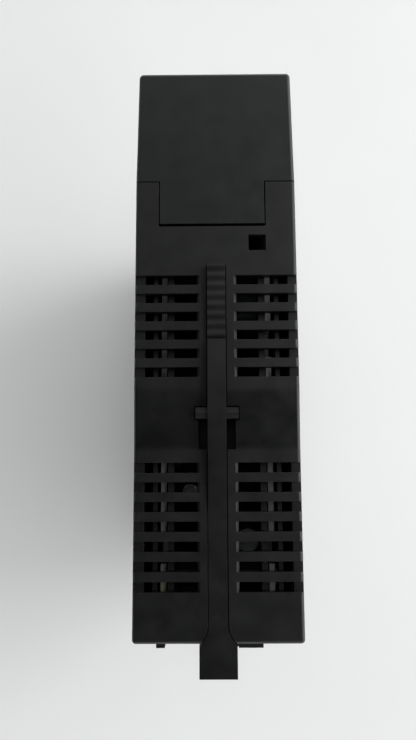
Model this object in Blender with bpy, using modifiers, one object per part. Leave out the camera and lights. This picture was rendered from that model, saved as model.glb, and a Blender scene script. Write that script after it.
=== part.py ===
"""A rack-mounting input/output module of a programmable controller, standing upside down on its top face.

Its underside faces up (+Z), its front, with the terminal block and the door, faces -Y, and its rear, which plugs
into the rack, faces +Y. Every number below is in millimetres and is turned into metres where a mesh is made.
"""

import math

import bmesh
import bpy
from mathutils import Matrix, Vector

MM = 0.001

# The housing, a sleeve that is open at its front and at its rear.
WIDTH = 35.0
HEIGHT = 130.0
SEAM_Y = -38.95
REAR_Y = 58.35
WALL = 2.1
CORNER = 0.8

# The ventilation slots, in rows across the underside and the top.
SLOT_FIRST_Y = -16.75
SLOT_PITCH = 4.0
SLOT_LENGTH_Y = 2.1
SLOT_ROWS = list(range(0, 6)) + list(range(10, 17))
SLOT_INNER_X = 4.15
SLOT_OUTER_X = 15.3
GROOVE_DEPTH = 0.9

# The two circuit boards and the guide rails that they slide in.
BOARD_INNER_X = 10.75
BOARD_OUTER_X = 12.0
BOARD_FRONT_Y = -35.5
BOARD_REAR_Y = 53.5
BOARD_LOW_Z = 4.4
BOARD_HIGH_Z = 125.6
RAIL_DEPTH = 5.0
RAIL_SPANS_X = ((9.15, 10.45), (12.65, 13.6))
RAIL_Y = (-22.5, 54.0)
PART_FACE_X = 10.4
SPACER_YZ = ((-22.0, 14.0), (-22.0, 116.0), (47.0, 14.0), (47.0, 117.0))

# The release lever, which lies in a channel of the underside.
LEVER_WIDTH = 3.9
LEVER_TIP_Y = -19.85
LEVER_PROUD = 2.0
LEVER_REAR_PROUD = 1.6
LEVER_UNDER_Z = 127.3
LEVER_FLUSH_Y = 32.45
RIDGES = 7
RIDGE_REAR_Y = -5.3
RIDGE_PITCH = 2.05
RIDGE_HEIGHT = 0.65
PAD_DROP = 0.45
PIVOT_Y = 11.95
PIVOT_Z = 130.0
PIVOT_RADIUS = 1.2
PIVOT_HALF_LENGTH = 4.46
FLARE_START_Y = 54.75
FLARE_END_Y = 58.75
HOOK_END_Y = 64.95
HOOK_WIDTH = 7.7
CHANNEL_FLOOR_Z = 124.8
CHANNEL_REAR_FLOOR_Z = 126.9
CHANNEL_STEP_Y = 9.0
TROUGH_HALF_X = 3.7
TROUGH_WIDE_HALF_X = 5.5
SADDLE = ((-4.75, 10.4, 128.4), (4.75, 13.5, 131.4))
POCKET = ((-3.9, 13.2, 125.0), (3.9, 19.45, 131.6))
BURIED_Z = 128.7
LATCH_WINDOW = ((-10.9, -26.85, 127.4), (-7.1, -23.35, 131.0))

# The underside slopes down across the pivot to a slightly lower rear stretch.
SLOPE_Y = (6.2, 19.2)
REAR_HEIGHT = 129.0

# The rear cover's two pads, and the hook that hangs on the rack, as y and z.
REAR_PADS_X = ((-9.2, -3.9), (10.9, 12.7))
PAD_PROUD = 1.15
RACK_HOOK_YZ = ((57, 9), (57, 4), (60.4, 4), (60.4, 2), (62.6, 2.6), (62.6, 7.2), (60, 9))

# The terminal block and what hangs on it.
FRONT_Y = -64.95
CAP_FRONT_WIDTH = 34.1
CAP_LOW_Z = 126.8
TONGUE_X = (-10.7, 12.2)
TONGUE_END_Y = -29.45
BLOCK_LOW_Z = 29.2
BLOCK_HALF_X = 16.6
BLOCK_FACE_Y = -55.4
SHELF_Z = (35.0, 37.3)
SCREW_COLUMNS_X = (-9.2, 9.2)
SCREW_ROWS = 10
SCREW_FIRST_Z = 43.4
SCREW_PITCH_Z = 8.6
WELL_FLOOR_Y = -50.0
WELL_INNER_X = 4.4
WELL_WALL = 1.1

# The door over the terminals.
DOOR_HALF_X = 16.7
DOOR_FRONT_Y = -64.6
DOOR_BACK_Y = -56.6
DOOR_Z = (37.6, 126.4)
DOOR_WALL = 1.3
HINGE_X = 15.2
HINGE_Y = -58.3
HINGE_RADIUS = 0.8

# The lever that frees the terminal block.
TAB_HALF_X = 7.0
TAB_Z = (29.6, 34.4)
TAB_AXIS_Y = -58.0
TAB_AXIS_Z = 33.0

# The frame behind the terminal block, with the nose that holds the indicator lens.
NOSE_FRONT_Y = -60.5
NOSE_Z = (0.3, 28.8)
NOSE_HALF_X = 17.2
INNER_HALF_X = 15.1
INNER_Z = (2.4, 127.4)
LED_COLUMNS = 8
LED_ROWS_Z = (10.5, 18.5)
LED_FIRST_X = -9.1
LED_PITCH = 2.6

# Colour, roughness and metallic value of each finish.
FINISHES = {
    "charcoal_plastic": ((0.022, 0.023, 0.023), 0.55, 0.0),
    "terminal_plastic": ((0.018, 0.019, 0.019), 0.6, 0.0),
    "lever_plastic": ((0.02, 0.02, 0.02), 0.5, 0.0),
    "smoked_lens": ((0.12, 0.13, 0.13), 0.2, 0.0),
    "green_board": ((0.16, 0.22, 0.1), 0.5, 0.0),
    "card_paper": ((0.75, 0.75, 0.72), 0.8, 0.0),
    "nickel": ((0.62, 0.61, 0.58), 0.35, 1.0),
    "spring_steel": ((0.5, 0.5, 0.52), 0.3, 1.0),
    "connector_plastic": ((0.03, 0.03, 0.032), 0.45, 0.0),
    "relay_plastic": ((0.05, 0.055, 0.06), 0.4, 0.0),
    "chip_epoxy": ((0.015, 0.015, 0.016), 0.5, 0.0),
    "converter_shell": ((0.03, 0.03, 0.03), 0.6, 0.0),
    "capacitor_sleeve": ((0.3, 0.31, 0.32), 0.4, 0.0),
    "fuse_glass": ((0.7, 0.72, 0.7), 0.15, 0.0),
}

PARTS = None
HELPERS = None


def clear_scene():
    """Removes what the startup file put in the scene, and makes the two collections."""
    global PARTS, HELPERS
    for obj in list(bpy.data.objects):
        bpy.data.objects.remove(obj, do_unlink=True)
    PARTS = bpy.data.collections.new("plc_module")
    HELPERS = bpy.data.collections.new("cutters")
    bpy.context.scene.collection.children.link(PARTS)
    bpy.context.scene.collection.children.link(HELPERS)


def finish(name):
    """The Principled material of one finish, made the first time that it is asked for."""
    material = bpy.data.materials.get(name)
    if material:
        return material
    colour, roughness, metallic = FINISHES[name]
    material = bpy.data.materials.new(name)
    material.use_nodes = True
    shader = material.node_tree.nodes["Principled BSDF"]
    shader.inputs["Base Color"].default_value = (*colour, 1.0)
    shader.inputs["Roughness"].default_value = roughness
    shader.inputs["Metallic"].default_value = metallic
    material.diffuse_color = (*colour, 1.0)
    return material


def add_box(bm, low, high):
    """Adds a box between two corners."""
    verts = bmesh.ops.create_cube(bm, size=1.0)["verts"]
    low, high = Vector(low), Vector(high)
    bmesh.ops.scale(bm, vec=high - low, verts=verts)
    bmesh.ops.translate(bm, vec=(low + high) / 2, verts=verts)


def add_cylinder(bm, start, axis, length, radius, segments=20, end_radius=None):
    """Adds a closed cylinder or cone, from its start along X, Y or Z."""
    turn = {
        "X": Matrix.Rotation(math.pi / 2, 4, "Y"),
        "Y": Matrix.Rotation(-math.pi / 2, 4, "X"),
        "Z": Matrix.Identity(4),
    }[axis]
    middle = Matrix.Translation((0, 0, length / 2))
    bmesh.ops.create_cone(
        bm,
        cap_ends=True,
        segments=segments,
        radius1=radius,
        radius2=radius if end_radius is None else end_radius,
        depth=length,
        matrix=Matrix.Translation(start) @ turn @ middle,
    )


def add_outline(bm, points, span, along):
    """Adds a closed flat outline, made thick over a span along X (points are y, z) or along Z (points are x, y)."""
    curve = bpy.data.curves.new("outline", "CURVE")
    curve.dimensions = "2D"
    curve.fill_mode = "BOTH"
    curve.extrude = (span[1] - span[0]) / 2
    spline = curve.splines.new("POLY")
    spline.points.add(len(points) - 1)
    for point, (first, second) in zip(spline.points, points):
        point.co = (first, second, 0.0, 1.0)
    spline.use_cyclic_u = True
    helper = bpy.data.objects.new("outline", curve)
    HELPERS.objects.link(helper)
    graph = bpy.context.evaluated_depsgraph_get()
    mesh = bpy.data.meshes.new_from_object(helper.evaluated_get(graph))
    mesh.transform(Matrix.Translation((0, 0, (span[0] + span[1]) / 2)))
    if along == "X":
        mesh.transform(Matrix(((0, 0, 1, 0), (1, 0, 0, 0), (0, 1, 0, 0), (0, 0, 0, 1))))
    plate = bmesh.new()
    plate.from_mesh(mesh)
    bmesh.ops.remove_doubles(plate, verts=plate.verts, dist=1e-3)
    bmesh.ops.dissolve_limit(plate, angle_limit=1e-3, verts=plate.verts, edges=plate.edges)
    bmesh.ops.recalc_face_normals(plate, faces=plate.faces)
    plate.to_mesh(mesh)
    plate.free()
    bm.from_mesh(mesh)
    bpy.data.objects.remove(helper, do_unlink=True)
    bpy.data.curves.remove(curve)
    bpy.data.meshes.remove(mesh)


def place(name, bm, origin, collection):
    """Makes an object of a mesh that was drawn in millimetres in the world, with its origin where it is wanted."""
    bmesh.ops.translate(bm, vec=-Vector(origin), verts=bm.verts)
    bmesh.ops.scale(bm, vec=(MM, MM, MM), verts=bm.verts)
    mesh = bpy.data.meshes.new(name)
    bm.to_mesh(mesh)
    bm.free()
    obj = bpy.data.objects.new(name, mesh)
    obj.location = Vector(origin) * MM
    collection.objects.link(obj)
    return obj


def part(name, finish_name, bm, origin=(0.0, 0.0, 0.0)):
    obj = place(name, bm, origin, PARTS)
    obj.data.materials.append(finish(finish_name))
    return obj


def helper(name, bm):
    obj = place(name, bm, (0.0, 0.0, 0.0), HELPERS)
    obj.hide_render = True
    obj.display_type = "WIRE"
    return obj


def boolean(obj, operation, bm):
    """Cuts a helper shape out of a part, or joins it on."""
    modifier = obj.modifiers.new(operation.lower(), "BOOLEAN")
    modifier.operation = operation
    modifier.solver = "EXACT"
    modifier.object = helper(f"{obj.name}_{operation.lower()}_{len(obj.modifiers)}", bm)


def bevel(obj, width, segments=2):
    modifier = obj.modifiers.new("edges", "BEVEL")
    modifier.width = width * MM
    modifier.segments = segments
    modifier.limit_method = "ANGLE"


def smooth(obj):
    """Shades round surfaces smooth and keeps the corners sharp."""
    obj.data.shade_smooth()
    obj.data.set_sharp_from_angle(angle=math.radians(35))


def box_part(name, finish_name, low, high, edge=0.0):
    bm = bmesh.new()
    add_box(bm, low, high)
    obj = part(name, finish_name, bm)
    if edge:
        bevel(obj, edge, 1)
    return obj


def arc(centre, radius, start, end, steps):
    """Points along a circular arc, with angles in degrees."""
    points = []
    for step in range(steps + 1):
        angle = math.radians(start + (end - start) * step / steps)
        points.append((centre[0] + radius * math.cos(angle), centre[1] + radius * math.sin(angle)))
    return points


def mirrored_spans(inner, outer):
    """The same span of x on both sides of the centre plane."""
    return ((inner, outer), (-outer, -inner))


def lever_plan(start_y, clearance):
    """Half the plan of the lever's rear stretch, from a start to the hook, as a half width at each y."""
    narrow = LEVER_WIDTH / 2 + clearance
    wide = HOOK_WIDTH / 2 + clearance
    rise = wide - narrow
    flare = []
    for step in range(7):
        share = step / 6
        y = FLARE_START_Y + (FLARE_END_Y - FLARE_START_Y) * share
        flare.append((narrow + rise * (1 - math.cos(share * math.pi / 2)), y))
    return [(narrow, start_y)] + flare + [(wide, HOOK_END_Y + 10 * clearance)]


def both_sides(half):
    """A closed outline from its right half, mirrored over the centre plane."""
    return half + [(-x, y) for x, y in reversed(half)]


def lever_profile():
    """The side view of the lever's front stretch: a ridged pad, a rising strip, and a level one that ends flush."""
    top = HEIGHT + LEVER_PROUD
    crest = top - PAD_DROP
    groove = crest - RIDGE_HEIGHT
    points = [(LEVER_TIP_Y, LEVER_UNDER_Z), (LEVER_FLUSH_Y + 2.0, LEVER_UNDER_Z)]
    points += [(LEVER_FLUSH_Y + 2.0, REAR_HEIGHT), (LEVER_FLUSH_Y + 0.6, REAR_HEIGHT)]
    points += [(SLOPE_Y[1], REAR_HEIGHT + LEVER_REAR_PROUD), (9.05, top), (-4.6, top - 0.5)]
    for ridge in range(RIDGES):
        rear = RIDGE_REAR_Y - RIDGE_PITCH * ridge
        points += [(rear, groove), (rear - 0.35, crest), (rear - 1.3, crest), (rear - 1.65, groove)]
    points += [(LEVER_TIP_Y, groove)]
    return points


def release_lever():
    """The long lever with its pivot bar, and with the hook that locks the module to the rack."""
    axis = (0.0, PIVOT_Y, PIVOT_Z)
    half = LEVER_WIDTH / 2
    bm = bmesh.new()
    add_outline(bm, lever_profile(), (-half, half), "X")
    obj = part("release_lever", "lever_plastic", bm, axis)
    rear = bmesh.new()
    plan = both_sides(lever_plan(LEVER_FLUSH_Y - 4.0, 0.0))
    add_outline(rear, plan, (LEVER_UNDER_Z + 0.02, REAR_HEIGHT - 0.02), "Z")
    boolean(obj, "UNION", rear)
    bar = bmesh.new()
    add_cylinder(bar, (-PIVOT_HALF_LENGTH, PIVOT_Y, PIVOT_Z), "X", 2 * PIVOT_HALF_LENGTH, PIVOT_RADIUS, 20)
    boolean(obj, "UNION", bar)
    catch = bmesh.new()
    catch_side = [(61.2, 128.2), (61.2, 125.6), (62.4, 125.0), (HOOK_END_Y - 0.1, 127.2), (HOOK_END_Y - 0.1, 128.2)]
    add_outline(catch, catch_side, (-HOOK_WIDTH / 2 + 0.1, HOOK_WIDTH / 2 - 0.1), "X")
    boolean(obj, "UNION", catch)
    smooth(obj)


def lever_spring():
    """The leaf under the lever's pad, which pushes the pad out and the hook in."""
    points = [(8.3, 125.4), (5.0, 125.4), (-11.5, 126.95), (-12.8, 126.8)]
    thickness = 0.35
    outline = points + [(y, z - thickness + 0.1) for y, z in reversed(points)]
    bm = bmesh.new()
    add_outline(bm, outline, (-1.4, 1.4), "X")
    part("lever_spring", "spring_steel", bm)


def slot_centres():
    return [SLOT_FIRST_Y + SLOT_PITCH * row for row in SLOT_ROWS]


def slot_cutters():
    """Every through slot of the underside and the top, as one cutter."""
    bm = bmesh.new()
    half = SLOT_LENGTH_Y / 2
    for y in slot_centres():
        for left, right in mirrored_spans(SLOT_INNER_X, SLOT_OUTER_X):
            add_box(bm, (left, y - half, HEIGHT - WALL - 0.3), (right, y + half, HEIGHT + 1))
            add_box(bm, (left, y - half, -1), (right, y + half, WALL + 0.3))
    return bm


def groove_cutters():
    """The shallow grooves that carry each slot over the corner of the housing, as one cutter."""
    bm = bmesh.new()
    half = SLOT_LENGTH_Y / 2
    for y in slot_centres():
        surface = HEIGHT if y < SLOPE_Y[0] else REAR_HEIGHT
        for left, right in mirrored_spans(SLOT_OUTER_X - 0.4, WIDTH / 2 + 1):
            add_box(bm, (left, y - half, surface - GROOVE_DEPTH), (right, y + half, HEIGHT + 1))
            add_box(bm, (left, y - half, -1), (right, y + half, GROOVE_DEPTH))
    return bm


def guide_rails():
    """The rails on the inside of the underside and the top that hold the boards' edges."""
    bm = bmesh.new()
    for inner, outer in RAIL_SPANS_X:
        for left, right in mirrored_spans(inner, outer):
            add_box(bm, (left, RAIL_Y[0], HEIGHT - WALL - RAIL_DEPTH), (right, RAIL_Y[1], BURIED_Z))
            add_box(bm, (left, RAIL_Y[0], 1.0), (right, RAIL_Y[1], WALL + RAIL_DEPTH))
    return bm


def lever_trough():
    """The thickened strip of the underside that the lever's channel is sunk into."""
    bm = bmesh.new()
    low, high = CHANNEL_FLOOR_Z - 1.5, BURIED_Z
    half, wide = TROUGH_HALF_X, TROUGH_WIDE_HALF_X
    outline = [(half, -22.6), (half, 7.6), (wide, 9.4), (wide, 20.4), (half, 22.0), (half, 51.0), (wide, 53.0)]
    add_outline(bm, both_sides(outline + [(wide, 55.4)]), (low, high), "Z")
    return bm


def lever_channel():
    """The front stretch of the channel, deep enough for the pad to be pressed."""
    bm = bmesh.new()
    half = LEVER_WIDTH / 2 + 0.4
    add_box(bm, (-half, LEVER_TIP_Y - 0.6, CHANNEL_FLOOR_Z), (half, CHANNEL_STEP_Y, HEIGHT + 1))
    return bm


def housing():
    """The sleeve: two side walls, the vented underside and top, the board rails and the lever's channel."""
    bm = bmesh.new()
    side = [(SEAM_Y - 3, 0), (REAR_Y, 0), (REAR_Y, REAR_HEIGHT), (SLOPE_Y[1], REAR_HEIGHT)]
    add_outline(bm, side + [(SLOPE_Y[0], HEIGHT), (SEAM_Y - 3, HEIGHT)], (-WIDTH / 2, WIDTH / 2), "X")
    obj = part("housing", "charcoal_plastic", bm)
    bevel(obj, CORNER)
    hollow = bmesh.new()
    inner = WIDTH / 2 - WALL
    add_box(hollow, (-inner, SEAM_Y - 2, WALL), (inner, REAR_Y + 1, HEIGHT - WALL))
    boolean(obj, "DIFFERENCE", hollow)
    front = bmesh.new()
    add_box(front, (-WIDTH, SEAM_Y - 5, -5), (WIDTH, SEAM_Y, HEIGHT + 5))
    boolean(obj, "DIFFERENCE", front)
    boolean(obj, "UNION", guide_rails())
    boolean(obj, "UNION", lever_trough())
    boolean(obj, "DIFFERENCE", slot_cutters())
    boolean(obj, "DIFFERENCE", groove_cutters())
    boolean(obj, "DIFFERENCE", lever_channel())
    rear = bmesh.new()
    add_outline(rear, both_sides(lever_plan(CHANNEL_STEP_Y - 0.5, 0.25)), (CHANNEL_REAR_FLOOR_Z, HEIGHT + 2), "Z")
    boolean(obj, "DIFFERENCE", rear)
    saddle = bmesh.new()
    add_box(saddle, *SADDLE)
    boolean(obj, "DIFFERENCE", saddle)
    pocket = bmesh.new()
    add_box(pocket, *POCKET)
    boolean(obj, "DIFFERENCE", pocket)
    openings = bmesh.new()
    add_box(openings, (TONGUE_X[0] - 0.25, SEAM_Y - 1, 127.5), (TONGUE_X[1] + 0.25, TONGUE_END_Y + 0.65, HEIGHT + 1))
    add_box(openings, *LATCH_WINDOW)
    boolean(obj, "DIFFERENCE", openings)
    smooth(obj)


def rear_cover():
    """The plate that closes the rear, with the pads and the hook that hang the module on the rack."""
    bm = bmesh.new()
    add_box(bm, (-INNER_HALF_X, 55.9, INNER_Z[0]), (INNER_HALF_X, REAR_Y, INNER_Z[1]))
    obj = part("rear_cover", "charcoal_plastic", bm)
    raised = bmesh.new()
    for left, right in REAR_PADS_X:
        add_box(raised, (left, 57.0, 118.0), (right, REAR_Y + PAD_PROUD, 127.2))
    add_outline(raised, RACK_HOOK_YZ, (-8, 8), "X")
    boolean(obj, "UNION", raised)
    cutter = bmesh.new()
    add_box(cutter, (0.1, 54, 51.6), (10.8, REAR_Y + 2, 92.4))
    add_box(cutter, (-4.15, 54, 126.2), (4.15, REAR_Y + 3, HEIGHT))
    boolean(obj, "DIFFERENCE", cutter)


def front_frame():
    """The plate that closes the front behind the terminal block, with the hollow nose for the lens."""
    bm = bmesh.new()
    add_box(bm, (-INNER_HALF_X, -38.6, INNER_Z[0]), (INNER_HALF_X, -36.8, INNER_Z[1]))
    obj = part("front_frame", "charcoal_plastic", bm)
    nose = bmesh.new()
    outline = [(NOSE_HALF_X, SEAM_Y - 0.25), (-NOSE_HALF_X, SEAM_Y - 0.25)]
    outline += arc((-NOSE_HALF_X + 1.3, NOSE_FRONT_Y + 1.0), 1.0, 180, 270, 3)
    outline += arc((NOSE_HALF_X - 1.3, NOSE_FRONT_Y + 1.0), 1.0, 270, 360, 3)
    add_outline(nose, outline, NOSE_Z, "Z")
    boolean(obj, "UNION", nose)
    neck = bmesh.new()
    add_box(neck, (-14.8, -41, 2.8), (14.8, -37.2, 26.6))
    boolean(obj, "UNION", neck)
    cutter = bmesh.new()
    add_box(cutter, (-13.2, -58.8, 4.6), (13.2, -30, 24.4))
    boolean(obj, "DIFFERENCE", cutter)
    windows = bmesh.new()
    add_box(windows, (-12.0, -64, 6.0), (12.0, -58, 23.0))
    add_box(windows, (1.4, -42, 43.6), (9.2, -30, 116.4))
    boolean(obj, "DIFFERENCE", windows)
    smooth(obj)


def lens_cap():
    """The window over the indicator lights, with a flange in front of the nose."""
    bm = bmesh.new()
    add_box(bm, (-13.4, NOSE_FRONT_Y - 1.6, 4.6), (13.4, NOSE_FRONT_Y - 0.3, 24.4))
    obj = part("lens_cap", "smoked_lens", bm)
    bevel(obj, 0.4, 2)
    stem = bmesh.new()
    add_box(stem, (-11.7, NOSE_FRONT_Y - 1.0, 6.3), (11.7, NOSE_FRONT_Y + 1.6, 22.7))
    boolean(obj, "UNION", stem)


def led_board():
    """The small board behind the lens, with two rows of eight lights."""
    bm = bmesh.new()
    add_box(bm, (-11.2, -55.0, 5.6), (11.2, -53.6, 23.4))
    obj = part("led_board", "green_board", bm)
    lights = bmesh.new()
    for column in range(LED_COLUMNS):
        for z in LED_ROWS_Z:
            x = LED_FIRST_X + LED_PITCH * column
            add_box(lights, (x - 0.8, -56.4, z - 1.2), (x + 0.8, -54.5, z + 1.2))
    boolean(obj, "UNION", lights)
    stem = bmesh.new()
    add_box(stem, (8.8, -54.2, 8.0), (10.0, -36.0, 14.0))
    boolean(obj, "UNION", stem)


def board(name, side, notches_y):
    """One circuit board, with its edge cut back at the notches."""
    bm = bmesh.new()
    span = (BOARD_INNER_X, BOARD_OUTER_X) if side > 0 else (-BOARD_OUTER_X, -BOARD_INNER_X)
    add_box(bm, (span[0], BOARD_FRONT_Y, BOARD_LOW_Z), (span[1], BOARD_REAR_Y, BOARD_HIGH_Z))
    obj = part(name, "green_board", bm)
    cutter = bmesh.new()
    for start, end in notches_y:
        add_box(cutter, (span[0] - 1, start, BOARD_HIGH_Z - 6), (span[1] + 1, end, BOARD_HIGH_Z + 1))
    for y, z in SPACER_YZ:
        add_cylinder(cutter, (span[0] - 1, y, z), "X", 4, 1.5, 12)
    boolean(obj, "DIFFERENCE", cutter)


def spacers_and_screws():
    """The four posts between the boards, and the screws that hold the second board to them."""
    for index, (y, z) in enumerate(SPACER_YZ, 1):
        bm = bmesh.new()
        add_cylinder(bm, (-PART_FACE_X, y, z), "X", 2 * PART_FACE_X, 2.6, 6)
        post = part(f"board_spacer_{index}", "connector_plastic", bm)
        bore = bmesh.new()
        add_cylinder(bore, (-PART_FACE_X - 1, y, z), "X", 8, 1.5, 12)
        boolean(post, "DIFFERENCE", bore)
        screw = bmesh.new()
        add_cylinder(screw, (-13.8, y, z), "X", 1.5, 2.3, 14, 2.6)
        bolt = part(f"board_screw_{index}", "nickel", screw)
        shank = bmesh.new()
        add_cylinder(shank, (-12.8, y, z), "X", 8, 1.15, 12)
        boolean(bolt, "UNION", shank)
        slot = bmesh.new()
        add_box(slot, (-14.4, y - 3, z - 0.35), (-13.2, y + 3, z + 0.35))
        boolean(bolt, "DIFFERENCE", slot)


def backplane_connector():
    """The receptacle that plugs into the rack, with two rows of contact holes."""
    bm = bmesh.new()
    add_box(bm, (0.5, 47.0, 52.0), (PART_FACE_X, 61.3, 92.0))
    obj = part("backplane_connector", "connector_plastic", bm)
    bevel(obj, 0.4, 1)
    holes = bmesh.new()
    for row in range(12):
        for x in (4.0, 7.0):
            z = 58.0 + 2.54 * row
            add_box(holes, (x - 0.5, 57.0, z - 0.5), (x + 0.5, 63, z + 0.5))
    boolean(obj, "DIFFERENCE", holes)


def field_connector():
    """The socket on the main board's front edge that the terminal block plugs into."""
    bm = bmesh.new()
    add_box(bm, (1.8, -38.0, 44.0), (8.8, -28.0, 116.0))
    obj = part("field_connector", "connector_plastic", bm)
    foot = bmesh.new()
    add_box(foot, (8.0, -34.0, 46.0), (PART_FACE_X, -28.6, 114.0))
    boolean(obj, "UNION", foot)
    slot = bmesh.new()
    add_box(slot, (3.8, -40.0, 47.0), (6.8, -31.0, 113.0))
    boolean(obj, "DIFFERENCE", slot)


def board_header():
    """The plug and socket strip that carries signals between the two boards."""
    box_part("board_header", "connector_plastic", (-PART_FACE_X, -8, 60), (PART_FACE_X, 14, 65.5), 0.3)


def board_components():
    """The larger components that stand on the two boards."""
    for index, z in enumerate((30.0, 54.0, 78.0, 102.0), 1):
        low = (-PART_FACE_X, -26.0, z - 10)
        high = (-1.6, -12.0, z + 10)
        box_part(f"output_relay_{index}", "relay_plastic", low, high, 0.5)
    box_part("controller_chip", "chip_epoxy", (8.7, 4, 80), (PART_FACE_X, 24, 100), 0.25)
    box_part("dc_converter", "converter_shell", (-1, 24, 20), (PART_FACE_X, 44, 46), 0.5)
    for index, (x, y, z, radius) in enumerate(((-6.6, 39.3, 98.0, 2.6), (-5.6, 27.0, 84.0, 4.0)), 1):
        bm = bmesh.new()
        add_cylinder(bm, (x, y, z), "Z", 22, radius, 24)
        can = part(f"filter_capacitor_{index}", "capacitor_sleeve", bm)
        bevel(can, 0.4, 2)
        smooth(can)
    bm = bmesh.new()
    add_cylinder(bm, (7.4, 32.0, 56.0), "Z", 20, 2.6, 20)
    smooth(part("input_fuse", "fuse_glass", bm))


def cap_plan():
    """The plan of the block's end plate: it narrows to the front, where its corners are round."""
    rear = WIDTH / 2
    front = CAP_FRONT_WIDTH / 2
    radius = 1.0
    points = [(rear, SEAM_Y - 0.25), (-rear, SEAM_Y - 0.25)]
    points += arc((-front + radius, FRONT_Y + radius), radius, 180, 270, 4)
    points += arc((front - radius, FRONT_Y + radius), radius, 270, 360, 4)
    return points


def screw_places():
    """The x and z of each terminal, down one column and then the other."""
    return [(x, SCREW_FIRST_Z + SCREW_PITCH_Z * row) for x in SCREW_COLUMNS_X for row in range(SCREW_ROWS)]


def terminal_wells():
    """The wells round the terminals, open at the side where the wires come in."""
    bm = bmesh.new()
    half = SCREW_PITCH_Z / 2 - WELL_WALL / 2
    for x, z in screw_places():
        side = (WELL_INNER_X, WIDTH) if x > 0 else (-WIDTH, -WELL_INNER_X)
        add_box(bm, (side[0], BLOCK_FACE_Y - 2, z - half), (side[1], WELL_FLOOR_Y, z + half))
    return bm


def terminal_block():
    """The removable block: its body, the end plate with the tongue, and the shelf that carries the door and the tab."""
    origin = (0.0, SEAM_Y, HEIGHT)
    bm = bmesh.new()
    add_box(bm, (-BLOCK_HALF_X, BLOCK_FACE_Y, 36.0), (BLOCK_HALF_X, SEAM_Y - 0.25, 128.0))
    obj = part("terminal_block", "terminal_plastic", bm, origin)
    plate = bmesh.new()
    add_outline(plate, cap_plan(), (CAP_LOW_Z, HEIGHT), "Z")
    boolean(obj, "UNION", plate)
    tongue = bmesh.new()
    add_box(tongue, (TONGUE_X[0], SEAM_Y - 2, 128.2), (TONGUE_X[1], TONGUE_END_Y, HEIGHT - 0.005))
    boolean(obj, "UNION", tongue)
    back = bmesh.new()
    add_box(back, (-16.4, -46.0, BLOCK_LOW_Z), (16.4, SEAM_Y - 0.3, 40.0))
    add_box(back, (4.2, -41.0, 48.0), (6.4, -32.5, 112.0))
    boolean(obj, "UNION", back)
    shelf = bmesh.new()
    add_box(shelf, (-16.65, -61.5, SHELF_Z[0]), (16.65, -41.0, SHELF_Z[1]))
    boolean(obj, "UNION", shelf)
    cheeks = bmesh.new()
    for left, right in mirrored_spans(TAB_HALF_X + 0.35, TAB_HALF_X + 2.4):
        add_box(cheeks, (left, -60.3, 29.8), (right, -45.0, SHELF_Z[0] + 0.5))
    boolean(obj, "UNION", cheeks)
    boolean(obj, "DIFFERENCE", terminal_wells())
    holes = bmesh.new()
    for x, z in screw_places():
        add_cylinder(holes, (x, WELL_FLOOR_Y - 0.5, z), "Y", 7.5, 1.9, 10)
    add_cylinder(holes, (HINGE_X, HINGE_Y, CAP_LOW_Z - 1), "Z", 2.8, HINGE_RADIUS + 0.3, 12)
    add_cylinder(holes, (HINGE_X, HINGE_Y, 35.6), "Z", 3, HINGE_RADIUS + 0.3, 12)
    add_cylinder(holes, (-TAB_HALF_X - 1.8, TAB_AXIS_Y, TAB_AXIS_Z), "X", 2 * TAB_HALF_X + 3.6, 1.1, 12)
    boolean(obj, "DIFFERENCE", holes)
    smooth(obj)


def screw_mesh():
    """One terminal screw with its captive washer, made once and shared."""
    bm = bmesh.new()
    add_cylinder(bm, (0, 0, 0), "Y", 1.9, 2.9, 18)
    obj = part("terminal_screw_master", "nickel", bm)
    lower = bmesh.new()
    add_box(lower, (-3.4, 1.7, -3.2), (3.4, 2.5, 3.2))
    boolean(obj, "UNION", lower)
    shank = bmesh.new()
    add_cylinder(shank, (0, 1.5, 0), "Y", 7.0, 1.5, 12)
    boolean(obj, "UNION", shank)
    slot = bmesh.new()
    add_box(slot, (-4, -1, -0.45), (4, 0.9, 0.45))
    boolean(obj, "DIFFERENCE", slot)
    graph = bpy.context.evaluated_depsgraph_get()
    mesh = bpy.data.meshes.new_from_object(obj.evaluated_get(graph))
    for modifier in obj.modifiers:
        bpy.data.objects.remove(modifier.object, do_unlink=True)
    bpy.data.objects.remove(obj, do_unlink=True)
    mesh.shade_smooth()
    mesh.set_sharp_from_angle(angle=math.radians(35))
    return mesh


def terminal_screws():
    mesh = screw_mesh()
    for index, (x, z) in enumerate(screw_places(), 1):
        screw = bpy.data.objects.new(f"terminal_screw_{index:02d}", mesh)
        screw.location = Vector((x, WELL_FLOOR_Y - 2.8, z)) * MM
        PARTS.objects.link(screw)


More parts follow.
